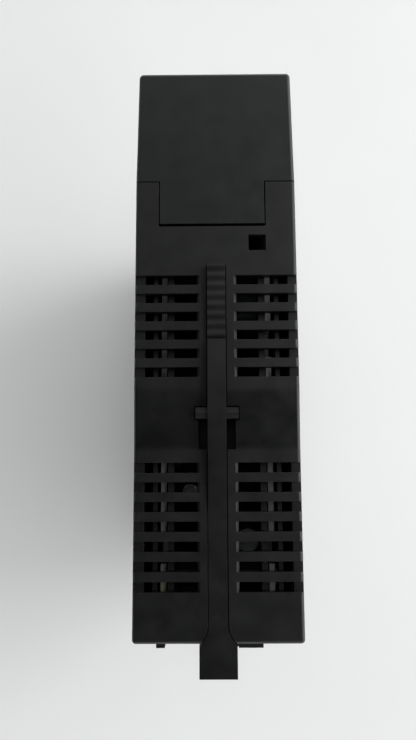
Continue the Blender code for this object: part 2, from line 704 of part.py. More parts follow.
def front_door():
    """The door over the terminals: a shallow tray on two pins."""
    axis = (HINGE_X, HINGE_Y, DOOR_Z[0])
    bm = bmesh.new()
    add_box(bm, (-DOOR_HALF_X, DOOR_FRONT_Y, DOOR_Z[0]), (DOOR_HALF_X, DOOR_BACK_Y, DOOR_Z[1]))
    obj = part("front_door", "charcoal_plastic", bm, axis)
    bevel(obj, 0.6)
    hollow = bmesh.new()
    inner = DOOR_HALF_X - DOOR_WALL
    low = (-inner, DOOR_FRONT_Y + DOOR_WALL, DOOR_Z[0] + DOOR_WALL)
    add_box(hollow, low, (inner, DOOR_BACK_Y + 2, DOOR_Z[1] - DOOR_WALL))
    boolean(obj, "DIFFERENCE", hollow)
    card_bed = bmesh.new()
    add_box(card_bed, (-12.4, DOOR_FRONT_Y - 1, 43.6), (12.4, DOOR_FRONT_Y + 0.5, 120.4))
    add_box(card_bed, (-18, DOOR_FRONT_Y + 3.6, 78.0), (-15.9, DOOR_BACK_Y + 2, 86.0))
    boolean(obj, "DIFFERENCE", card_bed)
    pins = bmesh.new()
    add_cylinder(pins, (HINGE_X, HINGE_Y, DOOR_Z[1] - 1.1), "Z", 2.9, HINGE_RADIUS, 12)
    add_cylinder(pins, (HINGE_X, HINGE_Y, DOOR_Z[0] - 1.7), "Z", 2.8, HINGE_RADIUS, 12)
    boolean(obj, "UNION", pins)
    smooth(obj)


def door_card():
    """The blank card in the door's shallow recess."""
    box_part("door_card", "card_paper", (-12.1, DOOR_FRONT_Y - 0.05, 43.9), (12.1, DOOR_FRONT_Y + 0.22, 120.1))


def block_tab():
    """The lever that swings out to free the terminal block."""
    axis = (0.0, TAB_AXIS_Y, TAB_AXIS_Z)
    bm = bmesh.new()
    side = [(-59.4, TAB_Z[0]), (-57.6, TAB_Z[0])]
    side += arc((TAB_AXIS_Y, TAB_AXIS_Z), 1.4, 0, 180, 8)
    add_outline(bm, side, (-TAB_HALF_X, TAB_HALF_X), "X")
    obj = part("block_tab", "lever_plastic", bm, axis)
    pin = bmesh.new()
    reach = TAB_HALF_X + 1.5
    add_cylinder(pin, (-reach, TAB_AXIS_Y, TAB_AXIS_Z), "X", 2 * reach, 0.8, 12)
    boolean(obj, "UNION", pin)
    smooth(obj)


def build():
    clear_scene()
    housing()
    rear_cover()
    release_lever()
    lever_spring()
    front_frame()
    lens_cap()
    led_board()
    board("main_board", 1, ((38.0, 43.2),))
    board("daughter_board", -1, ((-6.6, -0.6), (38.0, 43.2)))
    spacers_and_screws()
    backplane_connector()
    field_connector()
    board_header()
    board_components()
    terminal_block()
    terminal_screws()
    front_door()
    door_card()
    block_tab()


build()
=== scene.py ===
import math

import bmesh
import bpy
from mathutils import Matrix, Vector


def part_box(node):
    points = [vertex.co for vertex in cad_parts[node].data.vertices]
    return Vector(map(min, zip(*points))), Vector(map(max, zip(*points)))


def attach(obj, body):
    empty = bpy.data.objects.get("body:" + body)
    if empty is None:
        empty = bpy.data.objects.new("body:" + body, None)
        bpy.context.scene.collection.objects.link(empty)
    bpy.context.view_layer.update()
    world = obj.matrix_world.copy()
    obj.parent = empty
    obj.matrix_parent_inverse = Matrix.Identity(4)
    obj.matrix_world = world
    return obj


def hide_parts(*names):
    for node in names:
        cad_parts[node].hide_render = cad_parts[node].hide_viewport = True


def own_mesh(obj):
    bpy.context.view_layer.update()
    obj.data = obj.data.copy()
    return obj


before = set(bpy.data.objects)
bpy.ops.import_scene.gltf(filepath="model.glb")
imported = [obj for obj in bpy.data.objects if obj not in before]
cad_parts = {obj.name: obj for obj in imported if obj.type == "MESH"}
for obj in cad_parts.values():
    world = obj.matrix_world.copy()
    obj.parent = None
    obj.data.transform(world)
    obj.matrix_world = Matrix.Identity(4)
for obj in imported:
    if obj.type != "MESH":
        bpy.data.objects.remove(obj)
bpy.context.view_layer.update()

# Everything below is drawn in millimetres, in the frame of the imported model, and is turned into metres by place().
MM = 0.001


def mm_box(node):
    """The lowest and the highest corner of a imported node, in millimetres."""
    low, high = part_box(node)
    return Vector(low) / MM, Vector(high) / MM


HOUSING_LOW, HOUSING_HIGH = mm_box("housing")
LEVER_LOW, LEVER_HIGH = mm_box("release_lever")
BLOCK_LOW = mm_box("terminal_block")[0]
COVER_LOW = mm_box("rear_cover")[0]

# The sleeve. The module stands on its top face, so its underside is at the highest Z and its front at the lowest Y.
HALF_WIDTH = HOUSING_HIGH.x
HEIGHT = HOUSING_HIGH.z
SEAM_Y = HOUSING_LOW.y
REAR_Y = HOUSING_HIGH.y
FRONT_Y = BLOCK_LOW.y
SEAM_GAP = 0.25
WALL = 2.1
CORNER = 0.8
INNER_HALF_X = 15.1
# The underside is flat, then slopes between these two Y, and is flat again at a lower height behind.
SLOPE_Y = (6.2, 19.2)
REAR_HEIGHT = 129.0
# The slope's rear end is eased by points this far behind it and this far above the rear height.
SLOPE_END = ((0.6, 0.0), (0.0, 0.012), (-0.6, 0.046))
# Shapes that are joined to the underside's inner face reach up into its wall to this height.
BURIED_Z = 128.7

# The ventilation slots. Each runs out over the corner as a groove, and those on the -X side stand a little further out.
SLOT_FIRST_Y = -16.75
SLOT_PITCH = 4.0
SLOT_WIDTH = 2.1
SLOT_ROWS = (*range(0, 6), *range(10, 17))
SLOT_INNER_X = 4.15
SLOT_OUTER_X = 15.3
SLOT_SHIFT = 0.22
SLOT_CHAMFER = 0.55
SLOT_CHAMFER_DEPTH = 1.1 * SLOT_CHAMFER
GROOVE_DEPTH = 0.9

# The lever's channel, its pivot's saddle, and the pocket behind the pivot.
CHANNEL_FLOOR_Z = 124.8
CHANNEL_REAR_FLOOR_Z = 126.9
CHANNEL_STEP_Y = 9.0
TROUGH_HALF = 3.7
TROUGH_WIDE_HALF = 5.5
SADDLE_HALF = 4.75
SADDLE_Y = (10.4, 13.5)
SADDLE_FLOOR_Z = 128.4
POCKET_HALF = 3.9
POCKET_Y = (13.2, 19.45)
POCKET_FLOOR_Z = 125.0
# How far the smoother band's edges run: behind the slope's front end, and before and behind its rear end.
BAND_RISE = 1.6
BAND_FALL = (-0.6, 1.0)

# The release lever.
LEVER_HALF = 1.95
LEVER_GAP = 0.2
LEVER_UNDER_Z = 127.3
LEVER_REAR_PROUD = 1.6
LEVER_FLUSH_Y = 32.45
LEVER_TIP_Y = LEVER_LOW.y
HOOK_END_Y = LEVER_HIGH.y
HOOK_HALF = 3.85
PIVOT = Vector((0.0, 11.95, 130.0))
PIVOT_RADIUS = 1.2
PIVOT_HALF_LENGTH = 4.46
EAR_Y = (-1.1, 1.15)
EAR_Z = (-0.88, 1.12)
FLARE_START_Y = 54.75
FLARE_LENGTH = 4.0
RIDGE_PITCH = 2.1
RIDGE_CREST_Y = -17.25
RIDGE_HEIGHT = 0.085
PAD_REAR_Y = -4.05
PAD_STEPS = 60
# How far below the lever's top the pad's tip and rear end lie, then the strip's points as a Y and a drop, and the
# groove between the two.
PAD_DROP = (0.4, 1.05)
STRIP_POINTS = ((9.05, 0.0), (-2.6, 0.65), (-3.55, 0.72))
PAD_GROOVE_Y = -3.57
PAD_GROOVE_DROP = 1.5
CATCH_Y = (61.2, 62.4)
CATCH_Z = (125.0, 125.6, 127.2, 128.2)

# The leaf spring under the pad.
SPRING_HALF = 1.4
SPRING_HALF_THICK = 0.11
SPRING_SEAT_Y = (8.3, 5.0)
SPRING_SEAT_Z = 125.28
SPRING_REACH = 16.5
SPRING_RISE = 1.5
SPRING_TIP = (-12.8, 126.6)

# The rear cover. What is raised on it starts inside its plate.
COVER_INNER_Y = 55.9
COVER_TOP_Z = 127.4
RAISED_FROM_Y = 57.0
REAR_PADS_X = ((-9.2, -3.9), (10.9, 12.7))
REAR_PADS_Z = (118.0, 127.2)
PAD_PROUD = 1.15
COVER_RIBS_Z = (16.0, 34.0, 102.0)
COVER_RIB_HALF = 12.5
COVER_RIB_HEIGHT = 1.2
COVER_RIB_PROUD = 0.3
RACK_HOOK_YZ = ((57, 9), (57, 4), (60.4, 4), (60.4, 2), (62.6, 2.6), (62.6, 7.2), (60, 9))
RACK_HOOK_HALF = 8
CONNECTOR_WINDOW_X = (0.1, 10.8)
CONNECTOR_WINDOW_Z = (51.6, 92.4)
HOOK_NOTCH_HALF = 4.15
HOOK_NOTCH_Z = 126.2

# The terminal block's tongue with its notch, and the square latch window.
TONGUE_X = (-10.7, 12.2)
TONGUE_END_Y = -29.45
TONGUE_SIDE_GAP = 0.25
TONGUE_END_GAP = 0.65
NOTCH_DEPTH = 2.5
WINDOW_X = (-10.9, -7.1)
WINDOW_Y = (-26.85, -23.35)
WINDOW_DEPTH = 2.6
WINDOW_SLOPE = 1.5
WINDOW_RIM = 0.6

# The boards, and the rails that hold their edges.
RAIL_SPANS_X = ((9.15, 10.45), (12.65, 13.6))
RAIL_Y = (-22.5, 54.0)
RAIL_DEPTH = 5.0
BOARD_X = (10.75, 12.0)
BOARD_Y = (-35.5, 53.5)
BOARD_Z = (4.4, 125.6)
SPACER_YZ = ((-22.0, 14.0), (-22.0, 116.0), (47.0, 14.0), (47.0, 117.0))
MAIN_NOTCHES_Y = ((38.0, 43.2),)
DAUGHTER_NOTCHES_Y = ((-6.6, -0.6), (38.0, 43.2))
# Where the boards' cut edge changes from its front colour to its rear one, and from that to its last one. The front
# colour is painted light: a paler edge by the front slots that stands in for the light reaching it there.
EDGE_STOPS_Y = (4.0, 20.0, 46.0, 49.0)

# The terminal block.
CAP_LOW_Z = 126.8
CAP_FRONT_HALF = 17.05
SHELF_Z = (35.0, 37.3)
SHELF_Y = (-61.5, -41.0)
SHELF_HALF_X = 16.65
BLOCK_FACE_Y = -55.4
BLOCK_HALF_X = 16.6
BLOCK_Z = (36.0, 128.0)
BLOCK_BACK_HALF_X = 16.4
BLOCK_BACK_Y = -46.0
BLOCK_BACK_Z = 40.0
PLUG_X = (4.2, 6.4)
PLUG_Y = (-41.0, -32.5)
PLUG_Z = (48.0, 112.0)
WELL_FLOOR_Y = -50.0
SCREW_COLUMNS_X = (-9.2, 9.2)
SCREW_ROWS = 10
SCREW_FIRST_Z = 43.4
SCREW_PITCH = 8.6
SCREW_TURNS = (12, 75, 140, 38, 104)

# The door with its card, and the tab.
DOOR_HALF_X = 16.7
DOOR_Y = (-64.6, -56.6)
DOOR_Z = (37.6, 126.4)
DOOR_WALL = 1.3
CARD_HALF_X = 12.1
CARD_Z = (43.9, 120.1)
CARD_BED_GAP = 0.3
HINGE = Vector((15.2, -58.3, 37.6))
HINGE_RADIUS = 0.8

TAB_HALF_X = 7.0
TAB_AXIS = Vector((0.0, -58.0, 33.0))
TAB_PIN_REACH = TAB_HALF_X + 1.5

# The plate behind the terminal block, and the nose with the lens and the lights.
FRAME_PLATE_Y = (-38.6, -36.8)
FRAME_PLATE_Z = (2.4, 127.4)
SOCKET_WINDOW_X = (1.4, 9.2)
SOCKET_WINDOW_Z = (43.6, 116.4)
NECK_HALF_X = 14.8
NECK_Y = (-41, -37.2)
NECK_Z = (2.8, 26.6)
NOSE_FRONT_Y = -60.5
NOSE_HALF_X = 17.2
NOSE_Z = (0.3, 28.8)
NOSE_HOLLOW_HALF_X = 13.2
NOSE_HOLLOW_Y = (-58.8, -30)
NOSE_HOLLOW_Z = (4.6, 24.4)
LENS_OPENING_HALF_X = 12.0
LENS_OPENING_Z = (6.0, 23.0)
LENS_HALF_X = 13.4
LENS_Z = (4.6, 24.4)
LENS_STEM_HALF_X = 11.7
LENS_STEM_Z = (6.3, 22.7)
LED_BOARD_HALF_X = 11.2
LED_BOARD_Y = (-55.0, -53.6)
LED_BOARD_Z = (5.6, 23.4)
LAMP_WELL_HALF = (0.9, 1.6)
LAMP_RADIUS = 0.8
LAMP_COLUMNS = 8
LAMP_FIRST_X = -9.1
LAMP_PITCH = 2.6
LAMP_ROWS_Z = (10.5, 18.5)

# The surroundings: low walls, bright on the -X side, and a soft panel above the front.
RIGHT_WALL = 5.1
FRONT_WALL = 0.8
FRONT_PANEL = 0.40
# Each light's name, elevation, azimuth, distance, size and power. Azimuth 0 is the -X side and 90 is the front.
WINDOW_LIGHT = ("window", 50, 15, 1.5, (0.6, 0.45), 7.6)
INSIDE_LIGHT = ("inside_fill", 77, -90, 0.9, (0.3, 0.3), 0.8)
LIGHT_TARGET = Vector((0, 0, 0.1))
FLOOR_REACH = 3000
FLOOR_THICK = 20

# The camera's place in millimetres, and its tilt, yaw and roll in degrees.
CAMERA_PLACE = (1.05, 19.79, 255.97)
CAMERA_TURNS = (7.658, 0.349, -0.337)
CAMERA_LENS = 29.28

HELPERS = bpy.data.collections.new("cutters")
bpy.context.scene.collection.children.link(HELPERS)


# ---------------------------------------------------------------- shapes

def add_box(bm, low, high):
    """Adds a box between two corners."""
    verts = bmesh.ops.create_cube(bm, size=1.0)["verts"]
    low, high = Vector(low), Vector(high)
    bmesh.ops.scale(bm, vec=high - low, verts=verts)
    bmesh.ops.translate(bm, vec=(low + high) / 2, verts=verts)


def add_cylinder(bm, start, axis, length, radius, segments=32, end_radius=None):
    """Adds a closed cylinder or cone, from its start along X, Y or Z."""
    turn = {
        "X": Matrix.Rotation(math.pi / 2, 4, "Y"),
        "Y": Matrix.Rotation(-math.pi / 2, 4, "X"),
        "Z": Matrix.Identity(4),
    }[axis]
    bmesh.ops.create_cone(
        bm,
        cap_ends=True,
        segments=segments,
        radius1=radius,
        radius2=radius if end_radius is None else end_radius,
        depth=length,
        matrix=Matrix.Translation(start) @ turn @ Matrix.Translation((0, 0, length / 2)),
    )


def add_outline(bm, points, span, along):
    """Adds a flat outline made thick over a span.

    Along X the points are y, z; along Y they are x, z; along Z they are x, y.
    """
    made = bmesh.new()
    verts = [made.verts.new((a, b, span[0])) for a, b in points]
    face = made.faces.new(verts)
    out = bmesh.ops.extrude_face_region(made, geom=[face])
    moved = [item for item in out["geom"] if isinstance(item, bmesh.types.BMVert)]
    bmesh.ops.translate(made, vec=(0, 0, span[1] - span[0]), verts=moved)
    if along == "X":
        made.transform(Matrix(((0, 0, 1, 0), (1, 0, 0, 0), (0, 1, 0, 0), (0, 0, 0, 1))))
    elif along == "Y":
        made.transform(Matrix(((1, 0, 0, 0), (0, 0, 1, 0), (0, 1, 0, 0), (0, 0, 0, 1))))
    bmesh.ops.recalc_face_normals(made, faces=made.faces)
    mesh = bpy.data.meshes.new("outline")
    made.to_mesh(mesh)
    made.free()
    bm.from_mesh(mesh)
    bpy.data.meshes.remove(mesh)


def box(low, high):
    """A new mesh that holds one box."""
    bm = bmesh.new()
    add_box(bm, low, high)
    return bm


def extrusion(points, span, along):
    """A new mesh that holds one thick outline."""
    bm = bmesh.new()
    add_outline(bm, points, span, along)
    return bm


def rod(start, axis, length, radius, segments=32, end_radius=None):
    """A new mesh that holds one cylinder or cone."""
    bm = bmesh.new()
    add_cylinder(bm, start, axis, length, radius, segments, end_radius)
    return bm


def arc(centre, radius, start, end, steps):
    """Points along a circular arc, with angles in degrees."""
    angles = [math.radians(start + (end - start) * step / steps) for step in range(steps + 1)]
    return [(centre[0] + radius * math.cos(a), centre[1] + radius * math.sin(a)) for a in angles]


def rounded_rectangle(low, high, radius, steps=5):
    """A rectangle's outline with round corners."""
    corners = (
        (high[0] - radius, high[1] - radius, 0),
        (low[0] + radius, high[1] - radius, 90),
        (low[0] + radius, low[1] + radius, 180),
        (high[0] - radius, low[1] + radius, 270),
    )
    points = []
    for x, y, start in corners:
        points += arc((x, y), radius, start, start + 90, steps)
    return points


def both_sides(half):
    """A closed outline from its right half, mirrored over the centre plane."""
    return half + [(-x, y) for x, y in reversed(half)]


def mirrored_spans(inner, outer):
    """A span of X on the +X side, and its mirror image."""
    return ((inner, outer), (-outer, -inner))


def place(name, bm, collection):
    """Makes an object of a mesh that was drawn in millimetres."""
    bmesh.ops.scale(bm, vec=(MM, MM, MM), verts=bm.verts)
    mesh = bpy.data.meshes.new(name)
    bm.to_mesh(mesh)
    bm.free()
    obj = bpy.data.objects.new(name, mesh)
    collection.objects.link(obj)
    return obj


def boolean(obj, operation, bm):
    """Cuts a helper shape out of a piece, or joins it on."""
    helper = place(f"{obj.name}_helper_{len(obj.modifiers)}", bm, HELPERS)
    helper.hide_render = True
    helper.hide_viewport = True
    modifier = obj.modifiers.new(operation.lower(), "BOOLEAN")
    modifier.operation = operation
    modifier.solver = "EXACT"
    modifier.object = helper


def bevel(obj, width, segments=3, angle=30.0):
    """Rounds the edges that are sharper than an angle."""
    modifier = obj.modifiers.new("edges", "BEVEL")
    modifier.width = width * MM
    modifier.segments = segments
    modifier.limit_method = "ANGLE"
    modifier.angle_limit = math.radians(angle)
    modifier.use_clamp_overlap = True
    modifier.harden_normals = False


def apply_modifiers(obj):
    """Turns a piece's modifiers into plain mesh."""
    graph = bpy.context.evaluated_depsgraph_get()
    mesh = bpy.data.meshes.new_from_object(obj.evaluated_get(graph))
    helpers = [modifier.object for modifier in obj.modifiers if modifier.type == "BOOLEAN"]
    obj.modifiers.clear()
    for helper in helpers:
        bpy.data.objects.remove(helper, do_unlink=True)
    obj.data = mesh


def settle(obj, edge=0.0, segments=2, sharp=50.0):
    """Applies a piece's modifiers, rounds its edges, and shades it so that wide flat faces stay flat."""
    if edge:
        bevel(obj, edge, segments, 35.0)
    apply_modifiers(obj)
    obj.data.shade_smooth()
    obj.data.set_sharp_from_angle(angle=math.radians(sharp))
    weighted = obj.modifiers.new("flat faces", "WEIGHTED_NORMAL")
    weighted.keep_sharp = True
    weighted.weight = 100
    apply_modifiers(obj)
    return obj


def piece(name, bm):
    """A visible piece of the object."""
    return place(name, bm, bpy.context.scene.collection)


def finish_piece(obj, body, material, slot, *nodes):
    """Gives a piece its material, parents it to the body it rides on, and hides the nodes it stands for."""
    obj.data.materials.clear()
    obj.data.materials.append(material)
    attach(obj, body)
    if nodes:
        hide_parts(*nodes)
    return obj


# ---------------------------------------------------------------- materials

class Nodes:
    """A material's node tree, with short ways to add and link nodes."""

    def __init__(self, name):
        self.material = bpy.data.materials.new(name)
        self.material.use_nodes = True
        self.tree = self.material.node_tree
        self.shader = self.tree.nodes["Principled BSDF"]
        self.coords = self.add("ShaderNodeTexCoord").outputs["Object"]

    def add(self, kind, **inputs):
        node = self.tree.nodes.new(kind)
        for key, value in inputs.items():
            self.feed(node.inputs[key.replace("_", " ")], value)
        return node

    def feed(self, socket, value):
        if isinstance(value, bpy.types.NodeSocket):
            self.tree.links.new(value, socket)
        else:
            socket.default_value = value

    def noise(self, size_mm, detail=4.0, roughness=0.6, stretch=None):
        """Noise with blobs of about this size, stretched along an axis if asked."""
        vector = self.coords
        if stretch:
            mapping = self.add("ShaderNodeMapping", Vector=self.coords, Scale=stretch)
            vector = mapping.outputs["Vector"]
        node = self.add("ShaderNodeTexNoise", Vector=vector, Scale=1.0 / (size_mm * MM), Detail=detail)
        node.inputs["Roughness"].default_value = roughness
        return node.outputs["Fac"]

    def ramp(self, value, *stops):
        """A colour ramp through (position, grey or colour) stops."""
        node = self.add("ShaderNodeValToRGB", Fac=value)
        elements = node.color_ramp.elements
        while len(elements) < len(stops):
            elements.new(0.5)
        for element, (position, colour) in zip(elements, stops):
            element.position = position
            element.color = (*colour, 1.0) if isinstance(colour, tuple) else (colour, colour, colour, 1.0)
        return node.outputs["Color"]

    def mix(self, factor, first, second, blend="MIX"):
        node = self.tree.nodes.new("ShaderNodeMix")
        node.data_type = "RGBA"
        node.blend_type = blend
        self.feed(node.inputs[0], factor)
        self.feed(node.inputs[6], rgba(first))
        self.feed(node.inputs[7], rgba(second))
        return node.outputs[2]

    def math(self, operation, first, second=0.0):
        node = self.tree.nodes.new("ShaderNodeMath")
        node.operation = operation
        self.feed(node.inputs[0], first)
        self.feed(node.inputs[1], second)
        return node.outputs[0]

    def bump(self, height, distance_mm, strength=1.0, normal=None):
        node = self.add("ShaderNodeBump", Height=height, Distance=distance_mm * MM, Strength=strength)
        if normal:
            self.tree.links.new(normal, node.inputs["Normal"])
        return node.outputs["Normal"]

    def set(self, **inputs):
        for key, value in inputs.items():
            self.feed(self.shader.inputs[key.replace("_", " ")], value)
        return self.material


def rgba(value):
    if isinstance(value, bpy.types.NodeSocket):
        return value
    return (*value, 1.0) if isinstance(value, tuple) else (value, value, value, 1.0)


def band_mask(made):
    """1 on the slope across the pivot, and 0 before and behind it."""
    split = made.add("ShaderNodeSeparateXYZ", Vector=made.coords)
    mask = made.math("GREATER_THAN", split.outputs["Z"], (REAR_HEIGHT - 0.5) * MM)
    rise = (SLOPE_Y[0], SLOPE_Y[0] + BAND_RISE, 0.0, 1.0)
    fall = (SLOPE_Y[1] + BAND_FALL[0], SLOPE_Y[1] + BAND_FALL[1], 1.0, 0.0)
    for start, end, low, high in (rise, fall):
        edge = made.add("ShaderNodeMapRange", Value=split.outputs["Y"])
        edge.interpolation_type = "SMOOTHSTEP"
        for key, value in (("From Min", start * MM), ("From Max", end * MM), ("To Min", low), ("To Max", high)):
            edge.inputs[key].default_value = value
        mask = made.math("MULTIPLY", mask, edge.outputs["Result"])
    return mask


def moulded_plastic(name, colour, roughness=0.5, grain_mm=0.22, grain_depth=0.012, smoother=0.0):
    """Matte moulded plastic: a spark-eroded grain, faint flow clouds, and a few pale specks of dust.

    With smoother, the slope across the pivot is that much less rough.
    """
    made = Nodes(name)
    clouds = made.noise(14.0, 3.0)
    grain = made.noise(grain_mm, 5.0, 0.65)
    darker = tuple(channel * 0.86 for channel in colour)
    lighter = tuple(channel * 1.14 for channel in colour)
    body = made.mix(made.ramp(clouds, (0.35, 0.0), (0.65, 1.0)), darker, lighter)
    fine = made.mix(made.ramp(grain, (0.3, 0.0), (0.7, 1.0)), 0.88, 1.12)
    body = made.mix(1.0, body, fine, "MULTIPLY")
    dust = made.ramp(made.noise(0.7, 2.0, 0.4), (0.80, 0.0), (0.84, 1.0))
    base = made.mix(dust, body, tuple(channel * 4.0 + 0.01 for channel in colour))
    rough = made.ramp(made.noise(5.0, 4.0), (0.3, roughness - 0.05), (0.7, roughness + 0.07))
    if smoother:
        rough = made.math("SUBTRACT", rough, made.math("MULTIPLY", band_mask(made), smoother))
    waves = made.bump(made.noise(9.0, 2.0), 0.006, 0.5)
    normal = made.bump(grain, grain_depth, 1.0, waves)
    made.shader.inputs["Specular IOR Level"].default_value = 0.38
    return made.set(Base_Color=base, Roughness=rough, Normal=normal)


def board_material(name, front, rear, last):
    """Glass-epoxy board: green mask with faint tracks on its faces, and a cut edge whose tone changes along Y, painted
    paler at the front to stand in for the light that reaches the front slots' board edges.
    """
    made = Nodes(name)
    geometry = made.add("ShaderNodeNewGeometry")
    split = made.add("ShaderNodeSeparateXYZ", Vector=geometry.outputs["Normal"])
    face = made.math("GREATER_THAN", made.math("ABSOLUTE", split.outputs["X"]), 0.7)
    brick = made.add("ShaderNodeTexBrick", Vector=made.coords, Scale=260.0)
    tracks = made.mix(brick.outputs["Fac"], (0.03, 0.09, 0.035), (0.05, 0.14, 0.05))
    fibres = made.noise(0.35, 5.0, 0.7, (1.0, 0.25, 1.0))
    place_y = made.add("ShaderNodeSeparateXYZ", Vector=made.coords).outputs["Y"]
    length = BOARD_Y[1] - BOARD_Y[0]
    along = made.math("DIVIDE", made.math("SUBTRACT", place_y, BOARD_Y[0] * MM), length * MM)
    stops = zip(EDGE_STOPS_Y, (front, rear, rear, last))
    # Painted light: the ramp makes the cut edge paler at the front, where light reaches it, and plain further back.
    cut = made.ramp(along, *(((y - BOARD_Y[0]) / length, colour) for y, colour in stops))
    edge = made.mix(1.0, cut, made.mix(fibres, 0.7, 1.3), "MULTIPLY")
    base = made.mix(face, edge, tracks)
    normal = made.bump(brick.outputs["Fac"], 0.03, 0.5)
    return made.set(Base_Color=base, Roughness=0.5, Normal=normal)


def metal(name, colour, roughness, scratch_mm=0.3):
    """Plated or spring steel, with fine uneven polish."""
    made = Nodes(name)
    scratches = made.noise(scratch_mm, 6.0, 0.7, (0.2, 1.0, 1.0))
    darker = tuple(channel * 0.8 for channel in colour)
    base = made.mix(scratches, darker, colour)
    rough = made.ramp(scratches, (0.3, roughness - 0.08), (0.7, roughness + 0.1))
    normal = made.bump(scratches, 0.01, 0.6)
    return made.set(Base_Color=base, Roughness=rough, Metallic=1.0, Normal=normal)


def gloss_plastic(name, colour, roughness=0.25, transmission=0.0):
    """Smooth plastic with a faint cloudiness."""
    made = Nodes(name)
    clouds = made.noise(3.0, 3.0)
    base = made.mix(clouds, tuple(channel * 0.9 for channel in colour), tuple(channel * 1.1 for channel in colour))
    rough = made.ramp(clouds, (0.3, roughness - 0.04), (0.7, roughness + 0.06))
    made.set(Base_Color=base, Roughness=rough, Normal=made.bump(made.noise(0.8, 3.0), 0.004, 0.5))
    made.shader.inputs["Transmission Weight"].default_value = transmission
    return made.material


def card_material():
    """Blank card stock with fine fibres and faint ruled rows."""
    made = Nodes("door_card_paper")
    fibres = made.noise(0.5, 6.0, 0.7, (0.5, 1.0, 1.0))
    paper = made.mix(fibres, (0.62, 0.62, 0.58), (0.74, 0.74, 0.70))
    split = made.add("ShaderNodeSeparateXYZ", Vector=made.coords)
    rows = made.math("FRACT", made.math("MULTIPLY", split.outputs["Z"], 1.0 / (SCREW_PITCH * MM)))
    line = made.math("LESS_THAN", rows, 0.035)
    base = made.mix(line, paper, (0.30, 0.31, 0.32))
    return made.set(Base_Color=base, Roughness=0.8, Normal=made.bump(fibres, 0.02, 0.6))


HOUSING_PLASTIC = moulded_plastic("housing_plastic", (0.0012, 0.0013, 0.0013), 0.46, smoother=0.10)
CHARCOAL = moulded_plastic("charcoal_moulding", (0.0012, 0.0013, 0.0013), 0.46)
BLOCK_PLASTIC = moulded_plastic("terminal_block_plastic", (0.0004, 0.0018, 0.0015), 0.46)
LEVER_PLASTIC = moulded_plastic("lever_plastic_moulded", (0.0014, 0.0014, 0.0014), 0.44, 0.3, 0.008)
CONNECTOR_PLASTIC = moulded_plastic("connector_moulding", (0.02, 0.02, 0.021), 0.42, 0.4, 0.006)
RELAY_PLASTIC = moulded_plastic("relay_case", (0.045, 0.05, 0.055), 0.35, 0.6, 0.004)
CONVERTER = moulded_plastic("converter_case", (0.02, 0.02, 0.02), 0.6, 0.5, 0.01)
EPOXY = moulded_plastic("chip_package", (0.012, 0.012, 0.0125), 0.45, 0.15, 0.006)
# The front colours are painted light. The daughter board's is paler still because more light reaches its edge. The main
# board's last colour is a yellower tone.
BOARD = board_material(
    "daughter_board_laminate", front=(0.34, 0.345, 0.32), rear=(0.085, 0.087, 0.078), last=(0.09, 0.092, 0.083)
)
MAIN_BOARD = board_material(
    "main_board_laminate", front=(0.15, 0.152, 0.14), rear=(0.10, 0.102, 0.092), last=(0.14, 0.15, 0.07)
)
NICKEL = metal("nickel_plate", (0.66, 0.64, 0.60), 0.32)
SPRING = metal("spring_leaf", (0.55, 0.56, 0.58), 0.28)
LENS = gloss_plastic("smoked_lens_plastic", (0.07, 0.075, 0.075), 0.18, 0.35)
LED_CLEAR = gloss_plastic("led_bodies", (0.35, 0.42, 0.32), 0.2)
SLEEVE = gloss_plastic("capacitor_sleeve_film", (0.10, 0.105, 0.11), 0.4)
DARK_SLEEVE = gloss_plastic("capacitor_sleeve_dark", (0.002, 0.002, 0.0022), 0.5)
GLASS = gloss_plastic("fuse_glass_tube", (0.6, 0.62, 0.6), 0.12, 0.6)
CARD = card_material()


# ---------------------------------------------------------------- housing

def slot_rows():
    """Each slot row's Y."""
    return [SLOT_FIRST_Y + SLOT_PITCH * row for row in SLOT_ROWS]


def slot_section(side, top, y):
    """A slot's cross-section: a chamfered inner end, the opening, and the groove that runs out over the corner.

    With top it is for the face at the highest Z, which is the module's underside, and without it for the face at Z 0.
    """
    out = 1.0 if top else -1.0
    surface = 0.0
    if top:
        surface = HEIGHT if y < SLOPE_Y[0] else REAR_HEIGHT
    shift = SLOT_SHIFT if side < 0 else 0.0
    inner, outer, beyond = SLOT_INNER_X + shift, SLOT_OUTER_X + shift, HALF_WIDTH + 1
    depths = (
        (inner - SLOT_CHAMFER, 2.0),
        (inner - SLOT_CHAMFER, 0.0),
        (inner, -SLOT_CHAMFER_DEPTH),
        (inner, -WALL - 0.4),
        (outer, -WALL - 0.4),
        (outer, -GROOVE_DEPTH),
        (beyond, -GROOVE_DEPTH),
        (beyond, 2.0),
    )
    return [(side * x, surface + out * depth) for x, depth in depths]


def slots():
    """All the slots' cutters."""
    bm = bmesh.new()
    half = SLOT_WIDTH / 2
    for y in slot_rows():
        for side in (1, -1):
            for top in (True, False):
                add_outline(bm, slot_section(side, top, y), (y - half, y + half), "Y")
    return bm


def guide_rails():
    """The rails at both faces that hold the boards' edges."""
    bm = bmesh.new()
    for inner, outer in RAIL_SPANS_X:
        for left, right in mirrored_spans(inner, outer):
            add_box(bm, (left, RAIL_Y[0], HEIGHT - WALL - RAIL_DEPTH), (right, RAIL_Y[1], BURIED_Z))
            add_box(bm, (left, RAIL_Y[0], 1.0), (right, RAIL_Y[1], WALL + RAIL_DEPTH))
    return bm


def trough():
    """The thickened strip of the underside that the lever's channel is sunk into."""
    narrow, wide = TROUGH_HALF, TROUGH_WIDE_HALF
    half = [(narrow, -22.6), (narrow, 7.6), (wide, 9.4), (wide, 20.4)]
    half += [(narrow, 22.0), (narrow, 51.0), (wide, 53.0), (wide, 55.4)]
    return extrusion(both_sides(half), (CHANNEL_FLOOR_Z - 1.5, BURIED_Z), "Z")


